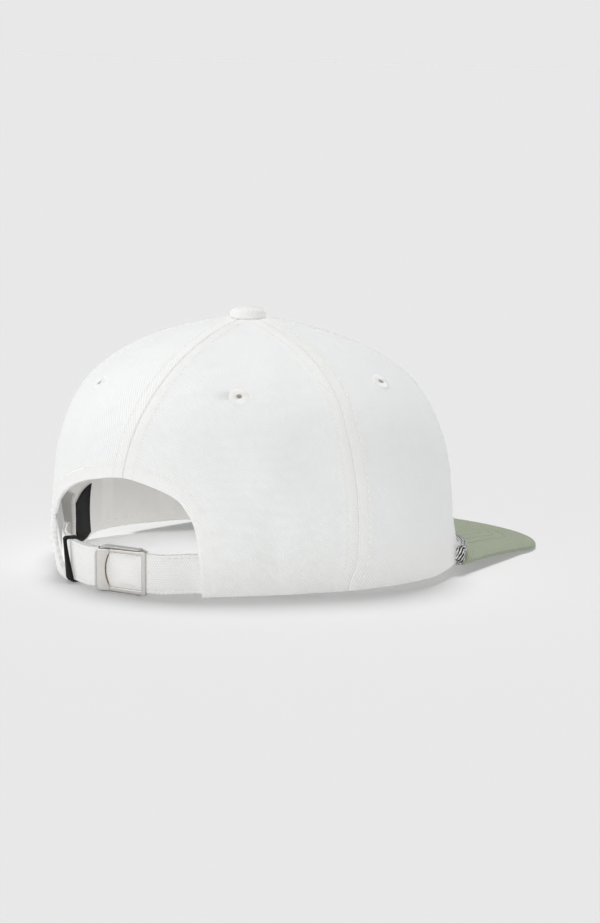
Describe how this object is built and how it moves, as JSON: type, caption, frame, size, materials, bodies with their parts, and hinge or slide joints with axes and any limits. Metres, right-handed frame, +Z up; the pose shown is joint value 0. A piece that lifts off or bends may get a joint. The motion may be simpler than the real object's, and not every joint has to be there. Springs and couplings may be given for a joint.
{
  "type": "rope cap",
  "caption": "Soft cap with a flat stitched brim, a braided rope along the brim's joint, and a back opening closed by a webbing strap with a lever clasp.",
  "frame": {"origin": "on the ground, under the middle of the cap's overall box", "axes": "+Z up, the brim towards -Y, the wearer's right towards -X"},
  "size_m": [0.1842, 0.2518, 0.1147],
  "materials": {
    "crown_cloth": "white cotton twill",
    "band_cloth": "white cotton twill",
    "brim_cloth": "sage green ribbed cloth with stitch rows",
    "rope_yarn": "black and white braid",
    "webbing": "white woven webbing",
    "black_tape": "black woven tape",
    "nickel": "brushed nickel plate"
  },
  "bodies": {
    "cap": {"front_panel": "crown_cloth", "side_panel_right": "crown_cloth", "side_panel_left": "crown_cloth", "back_panel_right": "crown_cloth", "back_panel_left": "crown_cloth", "button": "crown_cloth", "eyelet_back_right": "crown_cloth", "eyelet_back_left": "crown_cloth", "eyelet_side_right": "crown_cloth", "eyelet_side_left": "crown_cloth", "sweatband": "band_cloth", "inner_label": "black_tape", "keeper_loop": "black_tape", "brim": "brim_cloth", "rope": "rope_yarn", "strap_long": "webbing", "strap_short": "webbing", "clasp_base": "nickel"},
    "lever": {"clasp_lever": "nickel"}
  },
  "joints": [
    {"name": "lever_hinge", "type": "hinge", "parent": "cap", "child": "lever", "pos_m": [0.01009, 0.12381, 0.0099], "axis": [0, -0.0385, -0.9993], "range_deg": [0, 100]}
  ]
}
